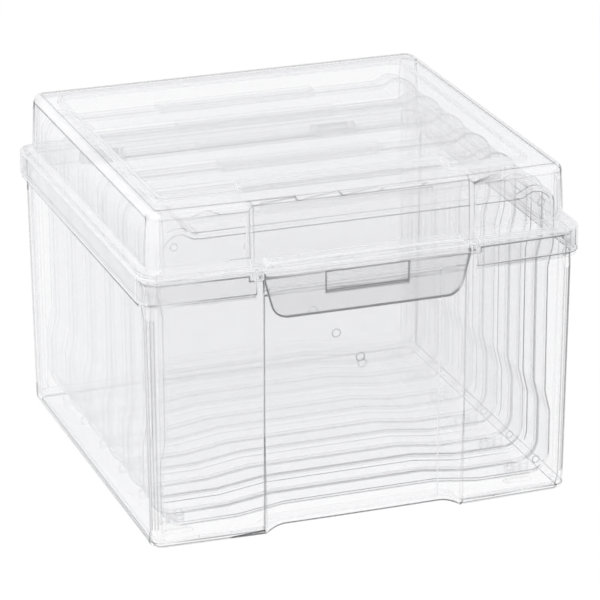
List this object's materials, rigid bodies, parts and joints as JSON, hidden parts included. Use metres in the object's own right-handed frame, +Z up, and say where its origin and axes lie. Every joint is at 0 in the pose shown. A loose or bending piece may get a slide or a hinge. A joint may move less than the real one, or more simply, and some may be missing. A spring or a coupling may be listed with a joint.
{
  "type": "photo keeper case",
  "caption": "Clear hinged storage box with a latch flap, packed with slim upright cases that each hold a stack of photo prints",
  "frame": {"origin": "centre of the bounding box on the table plane, at the bottom of the foot", "axes": "+X to the right of someone facing the latch, +Y to the hinges at the back, +Z up"},
  "size_m": [0.2164, 0.2196, 0.1636],
  "materials": {
    "clear_box": "clear, smooth and glossy, faint haze",
    "clear_case": "clear, smooth and glossy",
    "frosted_flap": "translucent, slightly frosted, satin"
  },
  "bodies": {
    "tub": {"tub": "clear_box"},
    "lid": {"lid": "clear_box"},
    "latch_flap": {"latch_flap": "frosted_flap"},
    "case_1": {"case_1_tray": "clear_case", "case_1_cover": "clear_case"},
    "case_2": {"case_2_tray": "clear_case", "case_2_cover": "clear_case"},
    "case_3": {"case_3_tray": "clear_case", "case_3_cover": "clear_case"},
    "case_4": {"case_4_tray": "clear_case", "case_4_cover": "clear_case"},
    "case_5": {"case_5_tray": "clear_case", "case_5_cover": "clear_case"},
    "case_6": {"case_6_tray": "clear_case", "case_6_cover": "clear_case"}
  },
  "joints": [
    {"name": "lid_hinge", "type": "hinge", "parent": "tub", "child": "lid", "pos_m": [0, 0.1065, 0.1224], "axis": [-1, 0, 0], "range_deg": [0, 110]},
    {"name": "latch_hinge", "type": "hinge", "parent": "lid", "child": "latch_flap", "pos_m": [0, -0.1085, 0.1304], "axis": [-1, 0, 0], "range_deg": [0, 100]},
    {"name": "case_1_lift", "type": "slide", "parent": "tub", "child": "case_1", "axis": [0, 0, 1], "range_m": [0, 0.004]},
    {"name": "case_2_lift", "type": "slide", "parent": "tub", "child": "case_2", "axis": [0, 0, 1], "range_m": [0, 0.004]},
    {"name": "case_3_lift", "type": "slide", "parent": "tub", "child": "case_3", "axis": [0, 0, 1], "range_m": [0, 0.004]},
    {"name": "case_4_lift", "type": "slide", "parent": "tub", "child": "case_4", "axis": [0, 0, 1], "range_m": [0, 0.004]},
    {"name": "case_5_lift", "type": "slide", "parent": "tub", "child": "case_5", "axis": [0, 0, 1], "range_m": [0, 0.004]},
    {"name": "case_6_lift", "type": "slide", "parent": "tub", "child": "case_6", "axis": [0, 0, 1], "range_m": [0, 0.004]}
  ]
}
